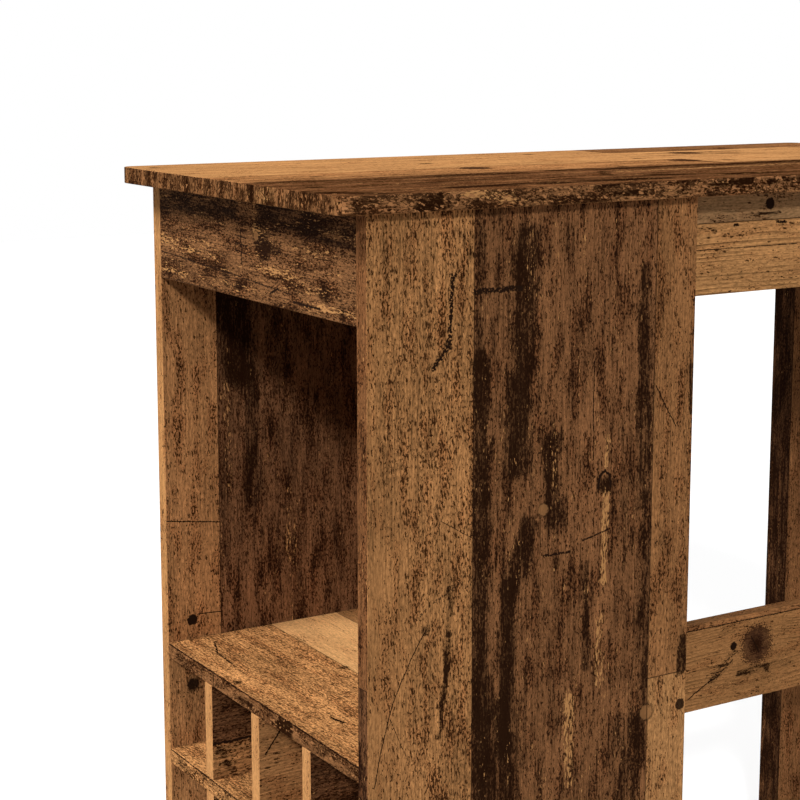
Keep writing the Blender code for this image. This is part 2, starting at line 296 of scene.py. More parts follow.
# %% Board grain group
FACE_LIMIT = 0.72
BOARD_GRAIN, bench, given, result = new_group(
    "board grain",
    {
        "Grain axis": (1.0, 0.0, 0.0),
        "Width axis": (0.0, 1.0, 0.0),
        "Thickness axis": (0.0, 0.0, 1.0),
        "Low corner": NOWHERE,
        "High corner": (1.0, 1.0, 1.0),
        "Skin depth": (0.001, 0.001, 0.001),
        "Shown side": 1.0,
        "Move along": 0.37,
        "Upright ends": 0.0,
    },
    dict.fromkeys(("Along", "Across", "Face", "Shown face", "Edge", "End", "Core"), "number"),
)
place = bench.add("ShaderNodeTexCoord").outputs["Object"]
normal = bench.add("ShaderNodeNewGeometry").outputs["True Normal"]
on_grain = bench.vector("DOT_PRODUCT", place, given["Grain axis"])
on_width = bench.vector("DOT_PRODUCT", place, given["Width axis"])
on_thickness = bench.vector("DOT_PRODUCT", place, given["Thickness axis"])
middle = bench.tint(bench.vector("ADD", given["Low corner"], given["High corner"]), 0.5)
middle_width = bench.vector("DOT_PRODUCT", middle, given["Width axis"])
middle_thickness = bench.vector("DOT_PRODUCT", middle, given["Thickness axis"])
looks_thick = bench.vector("DOT_PRODUCT", normal, given["Thickness axis"])
looks_wide = bench.math("ABSOLUTE", bench.vector("DOT_PRODUCT", normal, given["Width axis"]))
looks_long = bench.math("ABSOLUTE", bench.vector("DOT_PRODUCT", normal, given["Grain axis"]))
face = bench.math("GREATER_THAN", bench.math("ABSOLUTE", looks_thick), FACE_LIMIT)
on_band = bench.one_minus(face)
edge = bench.times(on_band, bench.math("GREATER_THAN", looks_wide, looks_long))
end = bench.minus(on_band, edge)
shown = bench.math("GREATER_THAN", bench.times(looks_thick, given["Shown side"]), 0.0)
mirrored = bench.minus(bench.times(middle_width, 2.0), on_width)
across_face = bench.between(shown, mirrored, on_width)
along_face = bench.between(shown, bench.minus(on_grain, given["Move along"]), on_grain)
off_middle = bench.minus(on_thickness, middle_thickness)
upright = bench.times(end, given["Upright ends"])
along_band = bench.between(upright, bench.between(end, on_grain, on_width), off_middle)
across_band = bench.between(upright, off_middle, on_width)
from_low = bench.vector("DIVIDE", bench.vector("SUBTRACT", place, given["Low corner"]), given["Skin depth"])
from_high = bench.vector("DIVIDE", bench.vector("SUBTRACT", given["High corner"], place), given["Skin depth"])
x_depth, y_depth, z_depth = bench.split(bench.vector("MINIMUM", from_low, from_high))
least_depth = bench.smaller(bench.smaller(x_depth, y_depth), z_depth)
bench.give_out(
    result,
    {
        "Along": bench.between(face, along_band, along_face),
        "Across": bench.between(face, across_band, across_face),
        "Face": face,
        "Shown face": bench.times(shown, face),
        "Edge": edge,
        "End": end,
        "Core": bench.math("GREATER_THAN", least_depth, 1.0),
    },
)
print("group:", BOARD_GRAIN.name, len(BOARD_GRAIN.nodes), "nodes")

# %% [markdown]
# ## Planks on a board
# The print shows planks of several widths, and some stop at a butt joint. A plank is a rectangle on the face,
# with its own tone and its own share of stain, flecks, worn streaks and growth rings. Each plank group lays
# one rectangle over what lies below it, and draws the dark seam round it. A chain of them makes a board.

# %% Plank group
FAR = 9.0
RAGGED_SCALE = 60.0
RAGGED_DEPTH = 0.0006
PLANK, bench, given, result = new_group(
    "plank",
    {
        "Along": 0.0,
        "Across": 0.0,
        "Only where": 1.0,
        "Along from": -FAR,
        "Along to": FAR,
        "Across from": -FAR,
        "Across to": FAR,
        "Tone below": BROWN,
        "Marks below": NOWHERE,
        "Rings below": 0.0,
        "Seed below": 0.0,
        "Seam below": 0.0,
        "Tone": BROWN,
        "Marks": NOWHERE,
        "Rings": 0.0,
        "Seed": 0.0,
        "Seam width": 0.0010,
    },
    {"Tone": "colour", "Marks": "vector", "Rings": "number", "Seed": "number", "Seam": "number"},
)
along, across = given["Along"], given["Across"]
ragged = bench.noise(bench.times(along, RAGGED_SCALE), bench.times(across, RAGGED_SCALE), 3.0)
from_ends = bench.smaller(bench.minus(along, given["Along from"]), bench.minus(given["Along to"], along))
from_sides = bench.smaller(bench.minus(across, given["Across from"]), bench.minus(given["Across to"], across))
inward = bench.plus(bench.smaller(from_ends, from_sides), bench.swing(ragged, RAGGED_DEPTH))
inside = bench.times(bench.math("GREATER_THAN", inward, 0.0), given["Only where"])
on_seam = bench.one_minus(bench.step(bench.math("ABSOLUTE", inward), 0.0, given["Seam width"]))
on_seam = bench.times(on_seam, given["Only where"])
kept_seam = bench.times(given["Seam below"], bench.one_minus(inside))
bench.give_out(
    result,
    {
        "Tone": bench.mix(inside, given["Tone below"], given["Tone"]),
        "Marks": bench.blend(inside, given["Marks below"], given["Marks"]),
        "Rings": bench.between(inside, given["Rings below"], given["Rings"]),
        "Seed": bench.between(inside, given["Seed below"], given["Seed"]),
        "Seam": bench.larger(kept_seam, on_seam),
    },
)
print("group:", PLANK.name, len(PLANK.nodes), "nodes")

# %% [markdown]
# ## Old wood
# Up close the print is built in layers, and each is a noise stretched along the grain: slow changes of tone,
# hair-fine fibres, a fine mottle, reddish patches, growth rings that turn dark at one side, short dark flecks
# and dots in clusters, ragged stains and pale worn streaks. One group holds all layers, so every plank is the
# same stuff in other amounts. The cells below build it layer by layer, from the ground up.

# %% Old wood group
RING_SPACING = 0.0045
OLD_WOOD, bench, given, result = new_group(
    "old wood",
    {
        "Along": 0.0,
        "Across": 0.0,
        "Seed": 0.0,
        "Tone": BROWN,
        "Stain": 0.1,
        "Flecks": 0.4,
        "Worn": 0.1,
        "Rings": 0.0,
        "Ring spacing": RING_SPACING,
        "Lift": 0.0,
    },
    {"Colour": "colour", "Roughness": "number", "Height": "number"},
)
along, across, tone, flecks = (given[name] for name in ("Along", "Across", "Tone", "Flecks"))


def stretched(along_scale, across_scale, layer, detail, roughness=0.5):
    """Noise whose spots are longer along the grain than across it."""
    layer = bench.plus(given["Seed"], layer)
    return bench.noise(
        bench.times(along, along_scale), bench.times(across, across_scale), layer, detail, roughness
    )


# each noise: spots in a metre along and across the grain, its layer, its detail and its roughness
slow = stretched(5.0, 17.0, 0.0, 2.0)
broad = stretched(7.0, 75.0, 11.0, 3.0, 0.6)
fibre = stretched(30.0, 440.0, 23.0, 3.0, 0.65)
speck = stretched(250.0, 520.0, 31.0, 3.0, 0.62)
dash = stretched(150.0, 470.0, 37.0, 3.0, 0.65)
field = stretched(17.0, 58.0, 47.0, 3.0, 0.55)
blot = stretched(34.0, 170.0, 59.0, 3.0, 0.65)
streak = stretched(13.0, 270.0, 67.0, 3.0, 0.6)
worn_field = stretched(11.0, 95.0, 71.0, 2.0)
worn_fleck = stretched(130.0, 460.0, 83.0, 3.0, 0.62)
wander = stretched(3.4, 16.0, 97.0, 1.0)
hair = stretched(16.0, 480.0, 113.0, 2.0, 0.6)
print("noises laid:", len(OLD_WOOD.nodes), "nodes")

# %% Ground, fibres and rings
calm = bench.math("MULTIPLY_ADD", flecks, 0.75, 0.40, clamp=True)
light = bench.plus(bench.swing(slow, 1.3), bench.swing(broad, 1.1), bench.swing(fibre, 1.2))
light = bench.plus(light, bench.swing(dash, 3.4))
colour = bench.tint(tone, bench.math("MULTIPLY_ADD", light, calm, 1.0))
reddish = bench.times(bench.times(bench.step(field, 0.46, 0.64), calm), 0.7)
colour = bench.mix(reddish, colour, bench.vector("MULTIPLY", colour, RED_PATCH))
dark_hair = bench.times(bench.step(hair, 0.57, 0.63), calm)
pale_hair = bench.times(bench.one_minus(bench.step(hair, 0.37, 0.43)), calm)
colour = bench.mix(bench.times(dark_hair, 0.55), colour, bench.tint(colour, 0.35))
colour = bench.mix(bench.times(pale_hair, 0.40), colour, bench.tint(colour, 1.45))
ring_place = bench.plus(across, bench.swing(wander, 0.034), given["Lift"])
ring = bench.math("POWER", bench.math("FRACT", bench.over(ring_place, given["Ring spacing"])), 2.6)
ring = bench.times(bench.times(ring, bench.step(broad, 0.40, 0.58)), given["Rings"])
colour = bench.mix(ring, colour, bench.tint(colour, 0.30))
print("ground, fibres and rings:", len(OLD_WOOD.nodes), "nodes")

# %% Flecks and dots
mottled = bench.minus(flecks, 1.0, clamp=True)
fleck_share = bench.smaller(flecks, 1.0)
clusters = bench.times(bench.swing(field, 0.50), bench.math("MULTIPLY_ADD", mottled, -0.75, 1.0))
fleck_edge = bench.minus(bench.minus(0.660, bench.times(fleck_share, 0.145)), clusters)
fleck = bench.step(speck, fleck_edge, bench.plus(fleck_edge, 0.045))
fleck_colour = bench.mix(mottled, FLECK_INK, bench.tint(tone, 0.30))
fleck_cover = bench.times(fleck, bench.math("MULTIPLY_ADD", mottled, -0.20, 0.92))
colour = bench.mix(fleck_cover, colour, fleck_colour)

dot_place = bench.join(
    bench.math("MULTIPLY_ADD", given["Seed"], 3.7, bench.times(along, 95.0)),
    bench.math("MULTIPLY_ADD", along, 45.0, bench.times(across, 310.0)),
    0.0,
)
dots = bench.cells(dot_place, voronoi_dimensions="2D", feature="F1")
dot_random = bench.split(dots["Color"])
dot_size = bench.math("MULTIPLY_ADD", dot_random[1], 0.30, 0.06)
dot_gap = bench.plus(dots["Distance"], bench.swing(speck, 1.5))
dot = bench.one_minus(bench.step(dot_gap, bench.times(dot_size, 0.75), bench.times(dot_size, 1.15)))
dot_share = bench.plus(bench.math("MULTIPLY_ADD", fleck_share, 0.42, -0.04), clusters)
dot = bench.times(bench.times(dot, bench.math("LESS_THAN", dot_random[0], dot_share)), 0.92)
colour = bench.mix(dot, colour, bench.mix(0.35, DOT_INK, fleck_colour))
print("flecks and dots:", len(OLD_WOOD.nodes), "nodes")

# %% Stains and worn streaks
soot = bench.plus(given["Stain"], bench.swing(field, 1.3), bench.swing(blot, 1.2), bench.swing(streak, 1.3))
colour = bench.tint(colour, bench.one_minus(bench.times(bench.step(soot, 0.25, 0.95), 0.62)))
stain_edge = bench.minus(0.65, bench.times(soot, 0.23))
crumbs = bench.plus(bench.swing(dash, 0.85), bench.swing(speck, 0.60), 0.5)
stain = bench.step(crumbs, stain_edge, bench.plus(stain_edge, 0.035))
colour = bench.mix(bench.times(stain, 0.92), colour, STAIN_INK)
rubbed = bench.plus(bench.times(worn_field, 0.3), bench.times(worn_fleck, 0.7))
worn_edge = bench.minus(0.66, bench.times(bench.smaller(given["Worn"], 0.85), 0.185))
rubbed = bench.step(rubbed, worn_edge, bench.plus(worn_edge, 0.035))
colour = bench.mix(bench.times(rubbed, 0.92), colour, bench.mix(0.78, tone, RUBBED_WOOD))
bench.give_out(
    result,
    {
        "Colour": colour,
        "Roughness": bench.plus(0.72, bench.swing(fibre, 0.30), bench.times(fleck, 0.10)),
        "Height": bench.minus(bench.swing(fibre, 0.5), bench.times(fleck, 0.45)),
    },
)
print("group:", OLD_WOOD.name, len(OLD_WOOD.nodes), "nodes")

# %% [markdown]
# ## Marks with a place of their own
# Some marks are recognisable: a long crack, a stain down one side of a plank, a nail hole, a wooden plug, a
# knot. A line mark is the distance to a straight stretch, wobbled by noise. With a hard edge it is a crack,
# and with a soft one it tells the wood where to be stained or worn. Along the top of the end apron, soft
# stain lines also paint the shadow of the top's overhang. A round mark is a distance to a point.

# %% Wobble group
SWAY_SCALE = 70.0
GRIT_SCALE = 420.0
WOBBLE, bench, given, result = new_group(
    "wobble", {"Along": 0.0, "Across": 0.0}, {"Sway": "vector", "Grit": "number"}
)
along, across = given["Along"], given["Across"]
coarse = bench.times(along, SWAY_SCALE), bench.times(across, SWAY_SCALE)
sway_along, sway_across = (bench.minus(bench.noise(*coarse, layer), 0.5) for layer in (1.0, 9.0))
fine = bench.times(along, GRIT_SCALE), bench.times(across, GRIT_SCALE)
bench.give_out(result, {"Sway": bench.join(sway_along, sway_across, 0.0), "Grit": bench.noise(*fine, 4.0)})
print("group:", WOBBLE.name, len(WOBBLE.nodes), "nodes")

# %% Line mark group
LINE_MARK, bench, given, result = new_group(
    "line mark",
    {
        "Place": NOWHERE,
        "Sway": NOWHERE,
        "Grit": 0.5,
        "Off side": 0.0,
        "Middle": NOWHERE,
        "Direction": (1.0, 0.0, 0.0),
        "Sideways": (0.0, 1.0, 0.0),
        "Half length": 0.05,
        "Half width": 0.001,
        "Wobble": 0.002,
        "Gaps": 0.3,
        "Strength": 1.0,
        "Before": 0.0,
    },
    {"Crack": "number", "Shade": "number"},
)
here = bench.vector("ADD", given["Place"], bench.tint(given["Sway"], given["Wobble"]))


def from_middle(direction):
    """How far the point lies from the stretch's middle, in one direction."""
    here_on_it = bench.vector("DOT_PRODUCT", here, direction)
    return bench.minus(here_on_it, bench.vector("DOT_PRODUCT", given["Middle"], direction))


aside = from_middle(given["Sideways"])
past_end = bench.minus(bench.math("ABSOLUTE", from_middle(given["Direction"])), given["Half length"])
past_end = bench.larger(past_end, 0.0)
distance = bench.plus(bench.math("POWER", aside, 2.0), bench.math("POWER", past_end, 2.0))
distance = bench.over(bench.plus(bench.math("SQRT", distance), given["Off side"]), given["Half width"])
crack = bench.one_minus(bench.step(bench.plus(distance, bench.swing(given["Grit"], -2.2)), 0.55, 1.0))
unbroken = bench.step(given["Grit"], bench.minus(given["Gaps"], 0.02), bench.plus(given["Gaps"], 0.02))
crack = bench.times(bench.times(crack, unbroken), given["Strength"])
shade = bench.times(bench.one_minus(bench.step(distance, 0.35, 1.5)), given["Strength"])
bench.give_out(
    result, {"Crack": bench.larger(given["Before"], crack), "Shade": bench.plus(given["Before"], shade)}
)
print("group:", LINE_MARK.name, len(LINE_MARK.nodes), "nodes")

# %% Round mark group
ROUND_MARK, bench, given, result = new_group(
    "round mark",
    {
        "Place": NOWHERE,
        "Grit": 0.5,
        "Middle": NOWHERE,
        "Radius": 0.006,
        "Strength": 1.0,
        "Ragged": 0.5,
        "Before": 0.0,
    },
    dict.fromkeys(("Disc", "Rim", "Shade", "Rings", "Lift"), "number"),
)
parts = bench.split(bench.vector("SUBTRACT", given["Place"], given["Middle"]))
distance = bench.over(bench.vector("DISTANCE", given["Place"], given["Middle"]), given["Radius"])
distance = bench.plus(distance, bench.swing(given["Grit"], given["Ragged"]))
disc = bench.times(bench.one_minus(bench.step(distance, 0.88, 1.08)), given["Strength"])
outer = bench.one_minus(bench.step(distance, 1.0, 1.22))
shade = bench.times(bench.one_minus(bench.step(distance, 0.3, 1.7)), given["Strength"])
turns = bench.math("POWER", bench.math("FRACT", bench.times(distance, 2.1)), 2.0)
squared = bench.larger(bench.times(distance, distance), 1.0)
bench.give_out(
    result,
    {
        "Disc": bench.larger(given["Before"], disc),
        "Rim": bench.times(bench.step(distance, 0.76, 0.98), outer),
        "Shade": bench.plus(given["Before"], shade),
        "Rings": bench.larger(turns, bench.one_minus(bench.step(distance, 0.15, 0.5))),
        "Lift": bench.times(bench.over(parts[1], squared), -0.9),
    },
)
print("group:", ROUND_MARK.name, len(ROUND_MARK.nodes), "nodes")

# %% [markdown]
# ## Bark on the edges
# The edge band of the top and of the shelves shows rough bark: a net of dark cracks, with some of its islands
# dark as well. A cell pattern gives both, the distance to the cell's border and a random value for each cell.

# %% Bark group
BARK, bench, given, result = new_group(
    "bark",
    {"Along": 0.0, "Across": 0.0, "Cell size": 0.0032, "Dark share": 0.35},
    {"Dark": "number", "Light": "number"},
)
along, across, cell_size = given["Along"], given["Across"], given["Cell size"]
bend = bench.swing(bench.noise(bench.times(along, 210.0), bench.times(across, 330.0), 0.0, 3.0), 0.010)
cell_place = bench.join(
    bench.over(bench.plus(along, bend), cell_size),
    bench.over(bench.minus(bench.times(across, 1.7), bend), cell_size),
    0.0,
)
border = bench.cells(cell_place, feature="DISTANCE_TO_EDGE")["Distance"]
island_tone = bench.split(bench.cells(cell_place, feature="F1")["Color"])
patch = bench.noise(bench.times(along, 30.0), bench.times(across, 60.0), 5.0, 2.0)
gap = bench.times(bench.one_minus(bench.step(border, 0.02, 0.13)), bench.step(patch, 0.40, 0.56))
share = bench.plus(given["Dark share"], bench.swing(patch, 2.4))
island = bench.times(bench.math("LESS_THAN", island_tone[0], share), 0.80)
bench.give_out(
    result, {"Dark": bench.larger(gap, island), "Light": bench.math("GREATER_THAN", island_tone[1], 0.90)}
)
print("group:", BARK.name, len(BARK.nodes), "nodes")

# %% [markdown]
# ## Chipboard core
# Where a pocket is bored for a fitting, the skin ends and the core shows. It is pressed from small chips, so
# a cell pattern gives each chip its own tone and its own height.

# %% Chipboard group
CHIPBOARD, bench, given, result = new_group(
    "chipboard", {"Chip size": 0.0022}, {"Colour": "colour", "Height": "number"}
)
place = bench.add("ShaderNodeTexCoord").outputs["Object"]
chips = bench.cells(place, bench.over(1.0, given["Chip size"]), feature="F1")
chip_tone = bench.split(chips["Color"])
bench.give_out(result, {"Colour": bench.mix(chip_tone[0], DARK_CHIP, PALE_CHIP), "Height": chip_tone[1]})
print("group:", CHIPBOARD.name, len(CHIPBOARD.nodes), "nodes")

# %% [markdown]
# ## From a list to a board's finish
# Each board's print is a short list in millimetres: planks, then marks. This function turns the list into a
# material. It chains the plank groups, lets stain and wear marks steer the old wood group, and lays cracks,
# nail holes, plugs and knots over it.

# %% Planks and marks as lists
MM = 0.001
AXES = {"x": (1.0, 0.0, 0.0), "y": (0.0, 1.0, 0.0), "z": (0.0, 0.0, 1.0)}
LEVELS = {"face": 0.0, "back": 1.0, "edge": 2.0, "end": 3.0}
EVERYWHERE = (-FAR / MM, FAR / MM)
BEYOND = 2000


def plank(tone, stain=0.1, flecks=0.4, worn=0.1, rings=0.0, seed=0.0, across=EVERYWHERE, along=EVERYWHERE):
    """One plank of the print, as a rectangle in millimetres along and across the grain."""
    own = {"Tone": tone, "Marks": (stain, flecks, worn), "Rings": rings, "Seed": seed}
    reach = {
        "Along from": along[0] * MM,
        "Along to": along[1] * MM,
        "Across from": across[0] * MM,
        "Across to": across[1] * MM,
    }
    return own, reach


def line(kind, width, strength, *points, wobble=9, gaps=0.3, where="face"):
    """A crack, stain, worn streak or clean patch through (along, across) points, in millimetres."""
    values = {"Half width": width * MM, "Wobble": wobble * MM, "Gaps": gaps, "Strength": strength}
    return {"kind": kind, "points": points, "values": values, "where": where}


def spot(kind, along, across, radius, strength=1.0, where="face"):
    """A hole, plug, knot or smudge at a point, in millimetres."""
    values = {
        "Middle": (along * MM, across * MM, LEVELS[where]),
        "Radius": radius * MM,
        "Strength": strength,
        "Ragged": 1.6 if kind == "knot" else 0.7,
    }
    return {"kind": kind, "values": values, "where": where}


def crack(width, *points, strength=1.0, wobble=2, gaps=0.25, where="face"):
    """A split with a hard edge. Gaps is how much of it is broken off."""
    return line("crack", width, strength, *points, wobble=wobble, gaps=gaps, where=where)


stain, worn, clean = (partial(line, kind) for kind in ("stain", "worn", "clean"))
smudge, hole, plug, knot = (partial(spot, kind) for kind in ("smudge", "hole", "plug", "knot"))


def stretch(start, stop):
    """What a line mark group needs to know of a straight stretch between two points in millimetres."""
    length = math.dist(start, stop)
    direction = ((stop[0] - start[0]) / length, (stop[1] - start[1]) / length, 0.0)
    return {
        "Middle": ((start[0] + stop[0]) / 2 * MM, (start[1] + stop[1]) / 2 * MM, 0.0),
        "Direction": direction,
        "Sideways": (-direction[1], direction[0], 0.0),
        "Half length": length / 2 * MM,
    }


print("kinds of mark: crack, stain, worn, clean, smudge, hole, plug, knot")


# %% Laying planks and marks
def lay_planks(bench, spread, planks, only_where, below):
    """Chains plank groups and gives back what the last one puts out."""
    for own, reach in planks:
        under = {name + " below": source for name, source in below.items()}
        outputs = bench.use(PLANK, {**spread, "Only where": only_where, **own, **reach, **under})
        below = {name: outputs[name] for name in below}
    return below


def lay_marks(bench, layout, spread, marks):
    """Chains the mark groups and gives back how much each kind covers."""
    kinds = ("stain", "worn", "clean", "crack", "hole", "plug", "knot")
    cover = dict.fromkeys((*kinds, "plug rim", "lift"), 0.0)
    if not marks:
        return cover
    level = bench.minus(layout["Face"], layout["Shown face"])
    level = bench.math("MULTIPLY_ADD", layout["Edge"], LEVELS["edge"], level)
    level = bench.math("MULTIPLY_ADD", layout["End"], LEVELS["end"], level)
    off_side = {
        where: bench.math("ABSOLUTE", bench.minus(level, LEVELS[where]))
        for where in sorted({mark["where"] for mark in marks})
    }
    wobble = bench.use(WOBBLE, spread)
    shared = {"Place": bench.join(layout["Along"], layout["Across"], level), "Grit": wobble["Grit"]}
    for mark in marks:
        kind = "stain" if mark["kind"] == "smudge" else mark["kind"]
        if "points" in mark:
            shared_by_lines = {**shared, "Sway": wobble["Sway"], "Off side": off_side[mark["where"]]}
            for start, stop in zip(mark["points"], mark["points"][1:]):
                values = {**shared_by_lines, **stretch(start, stop), **mark["values"], "Before": cover[kind]}
                outputs = bench.use(LINE_MARK, values)
                cover[kind] = outputs["Crack" if kind == "crack" else "Shade"]
            continue
        outputs = bench.use(ROUND_MARK, {**shared, **mark["values"], "Before": cover[kind]})
        cover[kind] = outputs["Shade" if kind == "stain" else "Disc"]
        if kind == "plug":
            cover["plug rim"] = bench.larger(cover["plug rim"], outputs["Rim"])
        if kind == "knot":
            cover["knot rings"] = outputs["Rings"]
            cover["lift"] = bench.plus(cover["lift"], outputs["Lift"])
    return cover


def new_material(name):
    """An empty node material, and a bench to fill it."""
    material = bpy.data.materials.new(name)
    material.use_nodes = True
    material.node_tree.nodes.clear()
    return material, Bench(material.node_tree)


def lay_surface(bench, colour, roughness, height, strength, depth):
    """The shader that ends a finish. Strength and depth are those of its relief."""
    relief = bench.add("ShaderNodeBump")
    relief.inputs["Strength"].default_value = strength
    relief.inputs["Distance"].default_value = depth
    bench.feed(relief.inputs["Height"], height)
    surface = bench.add("ShaderNodeBsdfPrincipled")
    bench.feed(surface.inputs["Base Color"], colour)
    bench.feed(surface.inputs["Roughness"], roughness)
    bench.feed(surface.inputs["Normal"], relief.outputs["Normal"])
    output = bench.add("ShaderNodeOutputMaterial")
    bench.feed(output.inputs["Surface"], surface.outputs["BSDF"])
    return surface


def give(node, material):
    """The board's own mesh stays, and its material slots take the finish."""
    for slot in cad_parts[node].material_slots:
        slot.material = material


print("relief and shader: one helper for all finishes")

# %% Board finish
SKIN = 0.0012
PRINT_RELIEF = 0.35
PRINT_DEPTH = 0.0003
SEAM_DARKNESS = 0.88
PLUG_RIM_DARKNESS = 0.60
PALE_BARK = 1.5
finished = []


def finish_board(
    node,
    axes,
    shown_side,
    planks,
    marks=(),
    edge=None,
    end=None,
    seed=0.0,
    skin=(SKIN, SKIN, SKIN),
    ring_spacing=RING_SPACING,
    bark=None,
    upright_ends=0.0,
    gloss=0.015,
):
    """A material for one board: its planks, its marks, its edge band and its core."""
    material, bench = new_material(node + "_print")
    low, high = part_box(node)
    grain_axis, width_axis, thickness_axis = (AXES[axis] for axis in axes)
    layout = bench.use(
        BOARD_GRAIN,
        {
            "Grain axis": grain_axis,
            "Width axis": width_axis,
            "Thickness axis": thickness_axis,
            "Low corner": tuple(low),
            "High corner": tuple(high),
            "Skin depth": skin,
            "Shown side": shown_side,
            "Upright ends": upright_ends,
        },
    )
    spread = {"Along": layout["Along"], "Across": layout["Across"]}
    edge = edge or [plank(BROWN, stain=0.25, flecks=0.5, seed=3.0)]
    below = lay_planks(bench, spread, planks, layout["Face"], {**planks[0][0], "Seam": 0.0})
    below = lay_planks(bench, spread, edge, layout["Edge"], below)
    below = lay_planks(bench, spread, end or edge[:1], layout["End"], below)
    stained, flecked, rubbed = bench.split(below["Marks"])
    cover = lay_marks(bench, layout, spread, marks)
    if cover["clean"]:
        flecked = bench.minus(flecked, cover["clean"], clamp=True)
    wood = bench.use(
        OLD_WOOD,
        {
            **spread,
            "Seed": bench.plus(below["Seed"], seed),
            "Tone": below["Tone"],
            "Stain": bench.plus(stained, cover["stain"]),
            "Flecks": flecked,
            "Worn": bench.plus(rubbed, cover["worn"]),
            "Rings": below["Rings"],
            "Ring spacing": ring_spacing,
            "Lift": cover["lift"],
        },
    )
    colour = wood["Colour"]
    if cover["knot"]:
        knot_wood = bench.mix(0.6, bench.tint(wood["Colour"], 0.62), KNOT_WOOD)
        colour = bench.mix(cover["knot"], colour, bench.mix(cover["knot rings"], knot_wood, KNOT_INK))
    if cover["plug"]:
        colour = bench.mix(cover["plug"], colour, bench.mix(0.75, wood["Colour"], PLUG_WOOD))
        colour = bench.mix(bench.times(cover["plug rim"], PLUG_RIM_DARKNESS), colour, PLUG_INK)
    if bark:
        dark_share, cell_size = bark
        pattern = bench.use(BARK, {**spread, "Cell size": cell_size * MM, "Dark share": dark_share})
        on_band = bench.one_minus(layout["Face"])
        pale_bark = bench.tint(below["Tone"], PALE_BARK)
        colour = bench.mix(bench.times(pattern["Light"], on_band), colour, pale_bark)
        colour = bench.mix(bench.times(pattern["Dark"], on_band), colour, BARK_INK)
    dark = bench.larger(bench.times(below["Seam"], SEAM_DARKNESS), cover["crack"])
    colour = bench.mix(bench.larger(dark, cover["hole"]), colour, CRACK_INK)
    core = bench.use(CHIPBOARD, {})
    colour = bench.mix(layout["Core"], colour, core["Colour"])
    height = bench.between(layout["Core"], bench.minus(wood["Height"], below["Seam"]), core["Height"])
    surface = lay_surface(bench, colour, wood["Roughness"], height, PRINT_RELIEF, PRINT_DEPTH)
    surface.inputs["Specular IOR Level"].default_value = gloss
    give(node, material)
    finished.append(node)
    print("finished", node, "with", len(material.node_tree.nodes), "nodes")


print("a finish takes planks, marks, an edge band and a core")

# %% [markdown]
# ## The front side panel
# It is the largest face in view: a light plank, a wide one that is nearly black in places, and a narrow one
# with a butt joint. Grain runs upright. The stains are lists of soft lines, so that they fall where the real
# print has them and still get ragged edges from the wood group.

# %% Front side panel
finish_board(
    "front_side_panel",
    "zxy",
    -1.0,
    planks=[
        plank(card(131, 88, 55), stain=0.38, flecks=0.60, worn=0.24, seed=4.0),
        plank(card(164, 115, 70), stain=0.05, flecks=0.80, worn=0.10, seed=1.0, across=(-BEYOND, -356)),
        plank(
            card(150, 103, 63), stain=0.12, flecks=0.58, worn=0.14, rings=0.35, seed=7.0,
            across=(-133.5, BEYOND), along=(510.7, BEYOND),
        ),
        plank(
            WARM_TAN, stain=0.04, flecks=0.50, worn=0.12, seed=9.0,
            across=(-133.5, BEYOND), along=(-BEYOND, 510.7),
        ),
    ],
    marks=[
        crack(3.2, (955, -380), (912, -382), (887, -385.5), (867, -402), wobble=9, gaps=0.42),
        stain(5, 0.6, (990, -366), (972, -361), wobble=3),
        crack(0.7, (611, -410), (582, -428.5), (542, -448.5), (497, -461), (462, -468.5)),
        crack(0.45, (529, -451), (477, -428.5), gaps=0.42),
        crack(1.6, (652, -368.5), (639, -396), (622, -423.5), wobble=5, gaps=0.52, strength=0.8),
        stain(3.5, 0.75, (649, -382.5), (602, -383.5), (567, -386), (499, -396)),
        crack(0.4, (717, -393.5), (694, -356)),
        clean(14, 0.30, (930, -474), (420, -470), wobble=15),
        clean(22, 0.25, (740, -450), (420, -448), wobble=15),
        smudge(611, -411, 5, 0.8),
        stain(5, 0.30, (1016, -349), (869, -349)),
        stain(10, 0.60, (869, -348), (420, -346), wobble=15),
        stain(15, 0.62, (985, -294), (760, -304), wobble=15),
        stain(13, 0.55, (777, -261), (700, -258), wobble=15),
        stain(13, 0.5, (697, -290), (640, -309), wobble=15),
        stain(10, 0.60, (640, -311), (470, -317)),
        stain(22, 0.38, (505, -327), (420, -322), wobble=15),
        stain(9, 0.42, (942, -150), (711, -143), wobble=15),
        stain(7, 0.30, (711, -141), (420, -140), wobble=15),
        stain(20, 0.35, (465, -160), (300, -158)),
        stain(5, 0.4, (647, -218), (537, -216)),
        worn(4, 0.75, (777, -192), (747, -193), wobble=2),
        worn(5, 0.80, (717, -193), (627, -195), wobble=2),
        worn(5, 0.80, (587, -198), (517, -198), wobble=2),
        worn(7, 0.75, (507, -236), (417, -236), wobble=5),
        worn(4, 0.45, (800, -88), (640, -88), wobble=5),
        crack(3.2, (937, -355), (937, -303), wobble=5, gaps=0.42),
        crack(0.8, (857, -211), (786, -211)),
        crack(1.5, (664, -270), (664, -238), gaps=0.42),
        crack(1.1, (673, -223), (681, -188), gaps=0.42),
        crack(0.8, (824, -131), (779, -103.5)),
        crack(1.8, (726, -203.5), (738, -201.5), (742.5, -195.5), (738, -189.5), (726, -187.5)),
        smudge(727, -195, 8, 0.9),
        plug(712, -272, 6.5),
        plug(474, -134.5, 9),
        hole(474, -88.5, 6.2, 0.94),
        smudge(659, -121, 8, 0.5),
        stain(7, 0.8, (545, -86), (512, -88)),
        stain(3, 0.7, (842, -84), (792, -84), wobble=5),
    ],
    edge=[
        plank(card(121, 79, 47), stain=0.24, flecks=0.7, worn=0.25, seed=2.0),
        plank(DEEP, stain=0.55, flecks=0.8, worn=0.20, seed=2.5, along=(-BEYOND, 560)),
    ],
)

